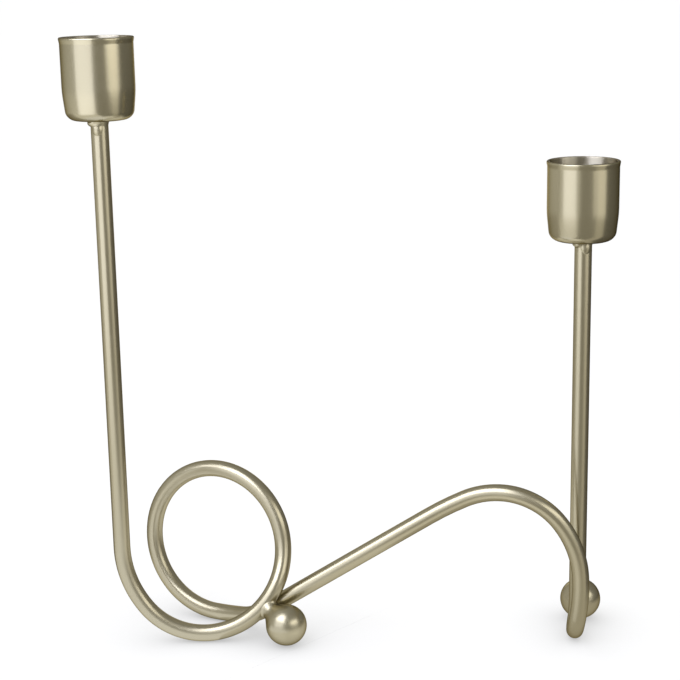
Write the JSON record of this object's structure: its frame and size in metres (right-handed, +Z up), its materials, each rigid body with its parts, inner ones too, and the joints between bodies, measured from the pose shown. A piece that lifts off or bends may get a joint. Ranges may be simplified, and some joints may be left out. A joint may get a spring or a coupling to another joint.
{
  "type": "spiral candle holder",
  "caption": "Free-standing table candle holder: one looped and humped round rod with an open candle cup on each stem and ball feet, in satin champagne lacquer.",
  "frame": {"origin": "on the table, under the middle of the whole form", "axes": "+X from the tall stem to the short stem, -Y to the front, +Z up"},
  "size_m": [0.1882, 0.0512, 0.2155],
  "materials": {
    "rod_lacquer": "satin",
    "cup_lacquer": "satin",
    "ball_lacquer": "satin",
    "weld_lacquer": "satin"
  },
  "bodies": {
    "root": {"bent_rod": "rod_lacquer", "left_cup": "cup_lacquer", "right_cup": "cup_lacquer", "left_cup_weld": "weld_lacquer", "right_cup_weld": "weld_lacquer", "front_ball_foot": "ball_lacquer", "rear_ball_foot": "ball_lacquer", "front_foot_weld": "weld_lacquer", "rear_foot_weld": "weld_lacquer", "loop_weld": "weld_lacquer"}
  },
  "joints": []
}
